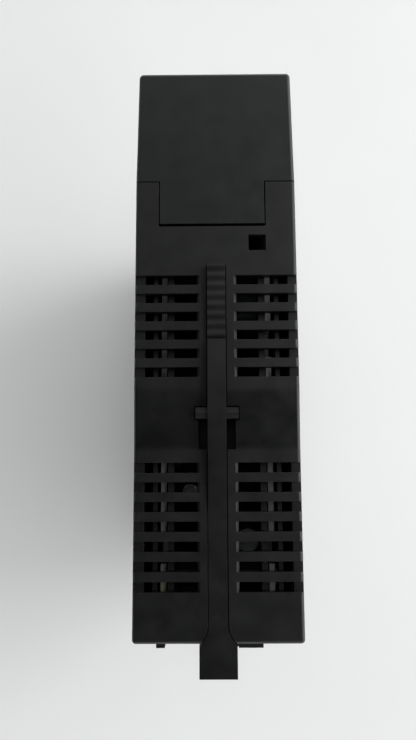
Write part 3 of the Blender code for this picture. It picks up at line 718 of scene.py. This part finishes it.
def lever_plan(start_y, clearance, steps=10):
    """Half the plan of the lever's rear stretch, from a start to the hook, as a half width at each y."""
    narrow = LEVER_HALF + clearance
    rise = HOOK_HALF - LEVER_HALF
    flare = []
    for step in range(steps + 1):
        share = step / steps
        width = narrow + rise * (1 - math.cos(share * math.pi / 2))
        flare.append((width, FLARE_START_Y + FLARE_LENGTH * share))
    return [(narrow, start_y)] + flare + [(narrow + rise, HOOK_END_Y + 10 * clearance)]


def make_housing():
    """The vented sleeve."""
    front_end, past, deep = SEAM_Y - 3, HEIGHT + 1, HEIGHT - WINDOW_DEPTH
    side = [(front_end, 0), (REAR_Y, 0), (REAR_Y, REAR_HEIGHT)]
    side += [(SLOPE_Y[1] + along, REAR_HEIGHT + up) for along, up in SLOPE_END]
    side += [(SLOPE_Y[0], HEIGHT), (front_end, HEIGHT)]
    obj = piece("housing_shell", extrusion(side, (-HALF_WIDTH, HALF_WIDTH), "X"))
    bevel(obj, CORNER, 5)
    inner = HALF_WIDTH - WALL
    boolean(obj, "DIFFERENCE", box((-inner, SEAM_Y - 2, WALL), (inner, REAR_Y + 1, HEIGHT - WALL)))
    front = box((-HALF_WIDTH - 5, SEAM_Y - 5, -5), (HALF_WIDTH + 5, SEAM_Y, HEIGHT + 5))
    boolean(obj, "DIFFERENCE", front)
    boolean(obj, "UNION", guide_rails())
    boolean(obj, "UNION", trough())
    boolean(obj, "DIFFERENCE", slots())
    half = LEVER_HALF + LEVER_GAP
    boolean(obj, "DIFFERENCE", box((-half, LEVER_TIP_Y - LEVER_GAP, CHANNEL_FLOOR_Z), (half, CHANNEL_STEP_Y, past)))
    plan = both_sides(lever_plan(CHANNEL_STEP_Y - 0.5, LEVER_GAP))
    boolean(obj, "DIFFERENCE", extrusion(plan, (CHANNEL_REAR_FLOOR_Z, HEIGHT + 2), "Z"))
    saddle = box((-SADDLE_HALF, SADDLE_Y[0], SADDLE_FLOOR_Z), (SADDLE_HALF, SADDLE_Y[1], HEIGHT + 1.4))
    boolean(obj, "DIFFERENCE", saddle)
    pocket = box((-POCKET_HALF, POCKET_Y[0], POCKET_FLOOR_Z), (POCKET_HALF, POCKET_Y[1], HEIGHT + 1.6))
    boolean(obj, "DIFFERENCE", pocket)
    low = (TONGUE_X[0] - TONGUE_SIDE_GAP, SEAM_Y - 1, HEIGHT - NOTCH_DEPTH)
    notch = box(low, (TONGUE_X[1] + TONGUE_SIDE_GAP, TONGUE_END_Y + TONGUE_END_GAP, past))
    window = [(WINDOW_X[1], past), (WINDOW_X[1], deep), (WINDOW_X[0] + WINDOW_SLOPE, deep)]
    window += [(WINDOW_X[0], HEIGHT - WINDOW_RIM), (WINDOW_X[0], past)]
    add_outline(notch, window, WINDOW_Y, "Y")
    boolean(obj, "DIFFERENCE", notch)
    settle(obj, 0.12, 2)
    finish_piece(obj, "module_body", HOUSING_PLASTIC, "charcoal_plastic", "housing")


# ---------------------------------------------------------------- lever

def lever_side():
    """The side view of the lever's front stretch: a wavy pad, a strip, and a long fall to where it lies flush."""
    top = LEVER_HIGH.z
    points = [(LEVER_TIP_Y, LEVER_UNDER_Z), (LEVER_FLUSH_Y + 2.0, LEVER_UNDER_Z)]
    points += [(LEVER_FLUSH_Y + 2.0, REAR_HEIGHT), (LEVER_FLUSH_Y + 0.6, REAR_HEIGHT)]
    points += [(SLOPE_Y[1], REAR_HEIGHT + LEVER_REAR_PROUD)] + [(y, top - drop) for y, drop in STRIP_POINTS]
    points += [(PAD_GROOVE_Y, top - PAD_GROOVE_DROP), (PAD_REAR_Y, top - PAD_GROOVE_DROP)]
    for step in range(PAD_STEPS + 1):
        share = step / PAD_STEPS
        y = PAD_REAR_Y + (LEVER_TIP_Y - PAD_REAR_Y) * share
        drop = PAD_DROP[1] + (PAD_DROP[0] - PAD_DROP[1]) * share
        wave = math.cos((y - RIDGE_CREST_Y) / RIDGE_PITCH * 2 * math.pi)
        points.append((y, top - drop - RIDGE_HEIGHT * (1 - wave)))
    return points


def make_lever():
    """The release lever: its bar, the pivot with two flattened ears, the flared hook and the catch under it."""
    obj = piece("release_lever_bar", extrusion(lever_side(), (-LEVER_HALF, LEVER_HALF), "X"))
    plan = both_sides(lever_plan(LEVER_FLUSH_Y - 4.0, 0.0))
    boolean(obj, "UNION", extrusion(plan, (LEVER_UNDER_Z + 0.02, REAR_HEIGHT - 0.02), "Z"))
    start = PIVOT - Vector((PIVOT_HALF_LENGTH, 0, 0))
    boolean(obj, "UNION", rod(start, "X", 2 * PIVOT_HALF_LENGTH, PIVOT_RADIUS))
    ears = bmesh.new()
    for left, right in mirrored_spans(LEVER_HALF - 0.5, PIVOT_HALF_LENGTH - 0.04):
        low = (left, PIVOT.y + EAR_Y[0], PIVOT.z + EAR_Z[0])
        add_box(ears, low, (right, PIVOT.y + EAR_Y[1], PIVOT.z + EAR_Z[1]))
    boolean(obj, "UNION", ears)
    end = HOOK_END_Y - 0.1
    side = [(CATCH_Y[0], CATCH_Z[3]), (CATCH_Y[0], CATCH_Z[1]), (CATCH_Y[1], CATCH_Z[0])]
    side += [(end, CATCH_Z[2]), (end, CATCH_Z[3])]
    boolean(obj, "UNION", extrusion(side, (-HOOK_HALF + 0.1, HOOK_HALF - 0.1), "X"))
    settle(obj, 0.28, 3)
    finish_piece(obj, "latch", LEVER_PLASTIC, "lever_plastic", "release_lever")


def make_spring():
    """The leaf under the pad."""
    middle = [(y, SPRING_SEAT_Z) for y in SPRING_SEAT_Y]
    for step in range(1, 9):
        share = step / 8
        lift = SPRING_RISE * share * share * (1.6 - 0.6 * share)
        middle.append((SPRING_SEAT_Y[1] - SPRING_REACH * share, SPRING_SEAT_Z + lift))
    middle.append(SPRING_TIP)
    outline = [(y, z + SPRING_HALF_THICK) for y, z in middle]
    outline += [(y, z - SPRING_HALF_THICK) for y, z in reversed(middle)]
    leaf = extrusion(outline, (-SPRING_HALF, SPRING_HALF), "X")
    obj = settle(piece("lever_spring_leaf", leaf), 0.04, 1)
    finish_piece(obj, "module_body", SPRING, "spring_steel", "lever_spring")
    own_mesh(obj)


# ---------------------------------------------------------------- rear cover, front frame, lens

def make_rear_cover():
    """The plate at the rear: two pads, three ribs, the rack's hook, the connector's window and the lever's notch."""
    plate = box((-INNER_HALF_X, COVER_INNER_Y, COVER_LOW.z), (INNER_HALF_X, REAR_Y, COVER_TOP_Z))
    obj = piece("rear_cover_plate", plate)
    raised = bmesh.new()
    for left, right in REAR_PADS_X:
        add_box(raised, (left, RAISED_FROM_Y, REAR_PADS_Z[0]), (right, REAR_Y + PAD_PROUD, REAR_PADS_Z[1]))
    for z in COVER_RIBS_Z:
        high = (COVER_RIB_HALF, REAR_Y + COVER_RIB_PROUD, z + COVER_RIB_HEIGHT)
        add_box(raised, (-COVER_RIB_HALF, RAISED_FROM_Y, z), high)
    add_outline(raised, RACK_HOOK_YZ, (-RACK_HOOK_HALF, RACK_HOOK_HALF), "X")
    boolean(obj, "UNION", raised)
    low = (CONNECTOR_WINDOW_X[0], 54, CONNECTOR_WINDOW_Z[0])
    openings = box(low, (CONNECTOR_WINDOW_X[1], REAR_Y + 2, CONNECTOR_WINDOW_Z[1]))
    add_box(openings, (-HOOK_NOTCH_HALF, 54, HOOK_NOTCH_Z), (HOOK_NOTCH_HALF, REAR_Y + 3, HEIGHT))
    boolean(obj, "DIFFERENCE", openings)
    settle(obj, 0.2, 2)
    finish_piece(obj, "module_body", CHARCOAL, "charcoal_plastic", "rear_cover")


def make_front_frame():
    """The plate behind the terminal block, with the nose below it that holds the lights."""
    low, high = zip(FRAME_PLATE_Y, FRAME_PLATE_Z)
    obj = piece("front_frame_nose", box((-INNER_HALF_X, *low), (INNER_HALF_X, *high)))
    outline = [(NOSE_HALF_X, SEAM_Y - SEAM_GAP), (-NOSE_HALF_X, SEAM_Y - SEAM_GAP)]
    outline += arc((-NOSE_HALF_X + 1.3, NOSE_FRONT_Y + 1.0), 1.0, 180, 270, 6)
    outline += arc((NOSE_HALF_X - 1.3, NOSE_FRONT_Y + 1.0), 1.0, 270, 360, 6)
    boolean(obj, "UNION", extrusion(outline, NOSE_Z, "Z"))
    low, high = zip(NECK_Y, NECK_Z)
    boolean(obj, "UNION", box((-NECK_HALF_X, *low), (NECK_HALF_X, *high)))
    low, high = zip(NOSE_HOLLOW_Y, NOSE_HOLLOW_Z)
    boolean(obj, "DIFFERENCE", box((-NOSE_HOLLOW_HALF_X, *low), (NOSE_HOLLOW_HALF_X, *high)))
    windows = box((-LENS_OPENING_HALF_X, -64, LENS_OPENING_Z[0]), (LENS_OPENING_HALF_X, -58, LENS_OPENING_Z[1]))
    low = (SOCKET_WINDOW_X[0], -42, SOCKET_WINDOW_Z[0])
    add_box(windows, low, (SOCKET_WINDOW_X[1], -30, SOCKET_WINDOW_Z[1]))
    boolean(obj, "DIFFERENCE", windows)
    settle(obj, 0.25, 3)
    finish_piece(obj, "module_body", CHARCOAL, "charcoal_plastic", "front_frame")


def lamp_places():
    """The x, z of each indicator light."""
    return [(LAMP_FIRST_X + LAMP_PITCH * column, z) for column in range(LAMP_COLUMNS) for z in LAMP_ROWS_Z]


def make_lens():
    """The smoked window, with two rows of shallow wells over the lights."""
    outline = rounded_rectangle((-LENS_HALF_X, LENS_Z[0]), (LENS_HALF_X, LENS_Z[1]), 1.0)
    obj = piece("lens_window", extrusion(outline, (NOSE_FRONT_Y - 1.6, NOSE_FRONT_Y - 0.3), "Y"))
    low = (-LENS_STEM_HALF_X, NOSE_FRONT_Y - 1.0, LENS_STEM_Z[0])
    boolean(obj, "UNION", box(low, (LENS_STEM_HALF_X, NOSE_FRONT_Y + 1.6, LENS_STEM_Z[1])))
    wells = bmesh.new()
    across, up = LAMP_WELL_HALF
    for x, z in lamp_places():
        add_box(wells, (x - across, NOSE_FRONT_Y - 1.9, z - up), (x + across, NOSE_FRONT_Y - 1.4, z + up))
    boolean(obj, "DIFFERENCE", wells)
    settle(obj, 0.2, 3)
    finish_piece(obj, "module_body", LENS, "smoked_lens", "lens_cap")


def make_led_board():
    """The small board behind the lens, with a strip back towards the main board, and its lights."""
    low, high = zip(LED_BOARD_Y, LED_BOARD_Z)
    obj = piece("led_board_plate", box((-LED_BOARD_HALF_X, *low), (LED_BOARD_HALF_X, *high)))
    boolean(obj, "UNION", box((8.8, -54.2, 8.0), (10.0, -36.0, 14.0)))
    settle(obj, 0.1, 1)
    finish_piece(obj, "module_body", BOARD, "green_board", "led_board")
    lights = bmesh.new()
    for x, z in lamp_places():
        add_cylinder(lights, (x, LED_BOARD_Y[0] - 0.02, z), "Y", -1.3, LAMP_RADIUS, 16)
    lamps = settle(piece("led_lamps", lights), 0.15, 2)
    finish_piece(lamps, "module_body", LED_CLEAR, "green_board")


# ---------------------------------------------------------------- boards and what stands on them

def make_board(name, side, notches, material, node):
    """A circuit board with notches along its edge and holes where the spacers stand."""
    span = BOARD_X if side > 0 else (-BOARD_X[1], -BOARD_X[0])
    obj = piece(name, box((span[0], BOARD_Y[0], BOARD_Z[0]), (span[1], BOARD_Y[1], BOARD_Z[1])))
    cutter = bmesh.new()
    for start, end in notches:
        add_box(cutter, (span[0] - 1, start, BOARD_Z[1] - 6), (span[1] + 1, end, BOARD_Z[1] + 1))
    for y, z in SPACER_YZ:
        add_cylinder(cutter, (span[0] - 1, y, z), "X", 4, 1.5, 24)
    boolean(obj, "DIFFERENCE", cutter)
    settle(obj, 0.06, 1)
    finish_piece(obj, "module_body", material, "green_board", node)


def dress(node, material, edge=0.0):
    """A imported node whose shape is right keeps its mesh, gets a finer material, and has its edges rounded."""
    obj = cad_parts[node]
    obj.data.materials.clear()
    obj.data.materials.append(material)
    if edge:
        weld = obj.modifiers.new("weld", "WELD")
        weld.merge_threshold = 0.00001
        bevel(obj, edge, 2, 40.0)


def dress_inner_parts():
    """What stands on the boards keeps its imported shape."""
    for index in range(1, 5):
        dress(f"board_spacer_{index}", CONNECTOR_PLASTIC, 0.15)
        dress(f"board_screw_{index}", NICKEL)
        dress(f"output_relay_{index}", RELAY_PLASTIC)
    dress("filter_capacitor_1", SLEEVE)
    dress("filter_capacitor_2", DARK_SLEEVE)
    dress("backplane_connector", CONNECTOR_PLASTIC)
    dress("field_connector", CONNECTOR_PLASTIC, 0.2)
    dress("board_header", CONNECTOR_PLASTIC)
    dress("controller_chip", EPOXY)
    dress("dc_converter", CONVERTER)
    dress("input_fuse", GLASS)


# ---------------------------------------------------------------- terminal block

def cap_plan():
    """The plan of the block's end plate: it narrows to the front, where its corners are round."""
    radius = 1.0
    points = [(HALF_WIDTH, SEAM_Y - SEAM_GAP), (-HALF_WIDTH, SEAM_Y - SEAM_GAP)]
    points += arc((-CAP_FRONT_HALF + radius, FRONT_Y + radius), radius, 180, 270, 8)
    points += arc((CAP_FRONT_HALF - radius, FRONT_Y + radius), radius, 270, 360, 8)
    return points


def screw_places():
    """The x, z of each terminal screw."""
    return [(x, SCREW_FIRST_Z + SCREW_PITCH * row) for x in SCREW_COLUMNS_X for row in range(SCREW_ROWS)]


def make_terminal_block():
    """The terminal block: wells for the screws, the end plate with its tongue, the shelf, and cheeks for the tab."""
    body = box((-BLOCK_HALF_X, BLOCK_FACE_Y, BLOCK_Z[0]), (BLOCK_HALF_X, SEAM_Y - SEAM_GAP, BLOCK_Z[1]))
    obj = piece("terminal_block_body", body)
    plate = extrusion(cap_plan(), (CAP_LOW_Z, HEIGHT), "Z")
    rounded = [
        edge
        for edge in plate.edges
        if min(vert.co.z for vert in edge.verts) > HEIGHT - 0.1
        and min(vert.co.y for vert in edge.verts) < SEAM_Y - 1
    ]
    bmesh.ops.bevel(plate, geom=rounded, offset=0.85, segments=5, profile=0.5, affect="EDGES", clamp_overlap=True)
    boolean(obj, "UNION", plate)
    tongue = box((TONGUE_X[0], SEAM_Y - 2, 128.2), (TONGUE_X[1], TONGUE_END_Y, HEIGHT - 0.005))
    boolean(obj, "UNION", tongue)
    low = (-BLOCK_BACK_HALF_X, BLOCK_BACK_Y, BLOCK_LOW.z)
    back = box(low, (BLOCK_BACK_HALF_X, SEAM_Y - 0.3, BLOCK_BACK_Z))
    add_box(back, *zip(PLUG_X, PLUG_Y, PLUG_Z))
    boolean(obj, "UNION", back)
    low, high = zip(SHELF_Y, SHELF_Z)
    boolean(obj, "UNION", box((-SHELF_HALF_X, *low), (SHELF_HALF_X, *high)))
    cheeks = bmesh.new()
    for left, right in mirrored_spans(TAB_HALF_X + 0.35, TAB_HALF_X + 2.4):
        add_box(cheeks, (left, -60.3, 29.8), (right, -45.0, SHELF_Z[0] + 0.5))
    boolean(obj, "UNION", cheeks)
    wells = bmesh.new()
    half = SCREW_PITCH / 2 - 0.55
    for x, z in screw_places():
        side = (4.4, HALF_WIDTH + 5) if x > 0 else (-HALF_WIDTH - 5, -4.4)
        add_box(wells, (side[0], BLOCK_FACE_Y - 2, z - half), (side[1], WELL_FLOOR_Y, z + half))
    boolean(obj, "DIFFERENCE", wells)
    holes = bmesh.new()
    for x, z in screw_places():
        add_cylinder(holes, (x, WELL_FLOOR_Y - 0.5, z), "Y", 7.5, 1.9, 24)
    add_cylinder(holes, (HINGE.x, HINGE.y, CAP_LOW_Z - 1), "Z", 2.8, HINGE_RADIUS + 0.3, 20)
    add_cylinder(holes, (HINGE.x, HINGE.y, 35.6), "Z", 3, HINGE_RADIUS + 0.3, 20)
    pin = (-TAB_HALF_X - 1.8, TAB_AXIS.y, TAB_AXIS.z)
    add_cylinder(holes, pin, "X", 2 * TAB_HALF_X + 3.6, 1.1, 20)
    boolean(obj, "DIFFERENCE", holes)
    settle(obj, 0.2, 2)
    finish_piece(obj, "terminals", BLOCK_PLASTIC, "terminal_plastic", "terminal_block")


def screw_mesh(turn):
    """A terminal screw: a domed head with a combination slot, turned by some degrees, over a square captive washer."""
    obj = piece("screw_master", rod((0, 0.35, 0), "Y", 1.4, 2.9))
    boolean(obj, "UNION", rod((0, 0.0, 0), "Y", 0.7, 2.3, 32, 2.9))
    boolean(obj, "UNION", extrusion(rounded_rectangle((-3.4, -3.2), (3.4, 3.2), 0.5), (1.7, 2.5), "Y"))
    boolean(obj, "UNION", rod((0, 1.5, 0), "Y", 7.0, 1.5, 24))
    for half_length, half_width, depth in ((4.0, 0.42, 1.0), (0.42, 1.7, 0.9)):
        slot = box((-half_length, -1, -half_width), (half_length, depth, half_width))
        slot.transform(Matrix.Rotation(math.radians(turn), 4, "Y"))
        boolean(obj, "DIFFERENCE", slot)
    settle(obj, 0.1, 2)
    mesh = obj.data
    bpy.data.objects.remove(obj, do_unlink=True)
    return mesh


def make_terminal_screws():
    """The twenty clamp screws, in a few different turns."""
    meshes = [screw_mesh(turn) for turn in SCREW_TURNS]
    for index, (x, z) in enumerate(screw_places(), 1):
        screw = bpy.data.objects.new(f"clamp_screw_{index:02d}", meshes[index * 3 % len(meshes)])
        screw.location = Vector((x, WELL_FLOOR_Y - 2.8, z)) * MM
        bpy.context.scene.collection.objects.link(screw)
        finish_piece(screw, "terminals", NICKEL, "nickel", f"terminal_screw_{index:02d}")


# ---------------------------------------------------------------- door and tab

def make_door():
    """The shallow door on its two pins, with a finger notch, and the blank card in its front."""
    obj = piece("door_tray", box((-DOOR_HALF_X, DOOR_Y[0], DOOR_Z[0]), (DOOR_HALF_X, DOOR_Y[1], DOOR_Z[1])))
    bevel(obj, 0.8, 4)
    inner = DOOR_HALF_X - DOOR_WALL
    low = (-inner, DOOR_Y[0] + DOOR_WALL, DOOR_Z[0] + DOOR_WALL)
    boolean(obj, "DIFFERENCE", box(low, (inner, DOOR_Y[1] + 2, DOOR_Z[1] - DOOR_WALL)))
    half = CARD_HALF_X + CARD_BED_GAP
    low = (-half, DOOR_Y[0] - 1, CARD_Z[0] - CARD_BED_GAP)
    bed = box(low, (half, DOOR_Y[0] + 0.5, CARD_Z[1] + CARD_BED_GAP))
    add_box(bed, (-18, DOOR_Y[0] + 3.6, 78.0), (-15.9, DOOR_Y[1] + 2, 86.0))
    boolean(obj, "DIFFERENCE", bed)
    pins = bmesh.new()
    add_cylinder(pins, (HINGE.x, HINGE.y, DOOR_Z[1] - 1.1), "Z", 2.9, HINGE_RADIUS, 24)
    add_cylinder(pins, (HINGE.x, HINGE.y, DOOR_Z[0] - 1.7), "Z", 2.8, HINGE_RADIUS, 24)
    boolean(obj, "UNION", pins)
    settle(obj, 0.15, 2)
    finish_piece(obj, "door", CHARCOAL, "charcoal_plastic", "front_door")
    outline = rounded_rectangle((-CARD_HALF_X, CARD_Z[0]), (CARD_HALF_X, CARD_Z[1]), 0.8)
    card = extrusion(outline, (DOOR_Y[0] - 0.05, DOOR_Y[0] + 0.22), "Y")
    sheet = settle(piece("door_card_sheet", card), 0.04, 1)
    finish_piece(sheet, "door", CARD, "card_paper", "door_card")


def make_tab():
    """The small lever that frees the block, with its pin."""
    side = [(-59.4, 29.6), (-57.6, 29.6)] + arc((TAB_AXIS.y, TAB_AXIS.z), 1.4, 0, 180, 14)
    obj = piece("block_tab_lever", extrusion(side, (-TAB_HALF_X, TAB_HALF_X), "X"))
    start = TAB_AXIS - Vector((TAB_PIN_REACH, 0, 0))
    boolean(obj, "UNION", rod(start, "X", 2 * TAB_PIN_REACH, 0.8, 24))
    settle(obj, 0.2, 2)
    finish_piece(obj, "tab", LEVER_PLASTIC, "lever_plastic", "block_tab")


# ---------------------------------------------------------------- stage

def make_floor():
    """A plain pale table top, with a faint unevenness."""
    made = Nodes("table_top")
    clouds = made.noise(160.0, 3.0)
    base = made.mix(clouds, (0.74, 0.74, 0.74), (0.80, 0.80, 0.80))
    made.set(Base_Color=base, Roughness=0.6)
    floor = piece("table_plane", box((-FLOOR_REACH, -FLOOR_REACH, -FLOOR_THICK), (FLOOR_REACH, FLOOR_REACH, 0)))
    floor.data.materials.append(made.material)


def aimed_light(name, elevation, azimuth, distance, size, power):
    """An area light at an angle above the table, aimed at the module's middle."""
    light = bpy.data.lights.new(name, "AREA")
    light.shape = "RECTANGLE"
    light.size, light.size_y = size
    light.energy = power
    obj = bpy.data.objects.new(name, light)
    up, turn = math.radians(elevation), math.radians(azimuth)
    away = Vector((-math.cos(up) * math.cos(turn), -math.cos(up) * math.sin(turn), math.sin(up)))
    obj.location = away * distance
    obj.rotation_euler = (LIGHT_TARGET - away * distance).to_track_quat("-Z", "Y").to_euler()
    bpy.context.scene.collection.objects.link(obj)
    return obj


def make_world():
    """Soft surroundings: bright low walls, the brightest on the -X side, and a dark ceiling with one soft panel."""
    world = bpy.data.worlds.new("studio")
    bpy.context.scene.world = world
    world.use_nodes = True
    tree = world.node_tree
    direction = tree.nodes.new("ShaderNodeTexCoord").outputs["Generated"]

    def ramp(axis, start, end, low, high, kind):
        dot = tree.nodes.new("ShaderNodeVectorMath")
        dot.operation = "DOT_PRODUCT"
        dot.inputs[1].default_value = axis
        tree.links.new(direction, dot.inputs[0])
        ranged = tree.nodes.new("ShaderNodeMapRange")
        ranged.interpolation_type = kind
        for key, value in (("From Min", start), ("From Max", end), ("To Min", low), ("To Max", high)):
            ranged.inputs[key].default_value = value
        tree.links.new(dot.outputs["Value"], ranged.inputs["Value"])
        return ranged.outputs["Result"]

    def combine(operation, first, second):
        node = tree.nodes.new("ShaderNodeMath")
        node.operation = operation
        tree.links.new(first, node.inputs[0])
        tree.links.new(second, node.inputs[1])
        return node.outputs[0]

    low = ramp((0, 0, 1), 0.2, 0.75, 1.0, 0.0, "SMOOTHSTEP")
    right = ramp((-1, 0, 0), -1.0, 1.0, 0.0, RIGHT_WALL, "LINEAR")
    front = ramp((0, -1, 0), -1.0, 1.0, 0.0, FRONT_WALL, "LINEAR")
    panel = ramp((0, -0.5, 0.866), 0.75, 1.0, 0.0, FRONT_PANEL, "SMOOTHSTEP")
    strength = combine("ADD", combine("MULTIPLY", low, combine("ADD", right, front)), panel)
    background = tree.nodes["Background"]
    background.inputs["Color"].default_value = (0.985, 0.995, 1.0, 1.0)
    tree.links.new(strength, background.inputs["Strength"])


def make_lights():
    """A window on the -X side, and a weak lamp overhead that lights the matte inner parts and leaves no highlight."""
    aimed_light(*WINDOW_LIGHT)
    aimed_light(*INSIDE_LIGHT).visible_glossy = False
    bpy.context.scene.view_settings.view_transform = "Standard"


def make_camera():
    """A hand's width above the underside, tilted a little to the front, with the slight skew of a hand-held shot."""
    tilt, yaw, roll = (math.radians(angle) for angle in CAMERA_TURNS)
    back = Vector((0, math.sin(tilt), math.cos(tilt)))
    up = Vector((0, -math.cos(tilt), math.sin(tilt)))
    frame_turn = Matrix((up.cross(back), up, back)).transposed()
    data = bpy.data.cameras.new("camera")
    data.sensor_width = 36.0
    data.lens = CAMERA_LENS
    data.clip_start, data.clip_end = 0.005, 20.0
    camera = bpy.data.objects.new("camera", data)
    camera.location = Vector(CAMERA_PLACE) * MM
    turn = frame_turn @ Matrix.Rotation(yaw, 3, "Y") @ Matrix.Rotation(roll, 3, "Z")
    camera.rotation_euler = turn.to_euler()
    bpy.context.scene.collection.objects.link(camera)
    bpy.context.scene.camera = camera


make_housing()
make_lever()
make_spring()
make_rear_cover()
make_front_frame()
make_lens()
make_led_board()
make_board("main_board_plate", 1, MAIN_NOTCHES_Y, MAIN_BOARD, "main_board")
make_board("daughter_board_plate", -1, DAUGHTER_NOTCHES_Y, BOARD, "daughter_board")
dress_inner_parts()
make_terminal_block()
make_terminal_screws()
make_door()
make_tab()
bpy.context.scene.collection.children.unlink(HELPERS)
bpy.data.collections.remove(HELPERS)
make_floor()
make_world()
make_lights()
make_camera()
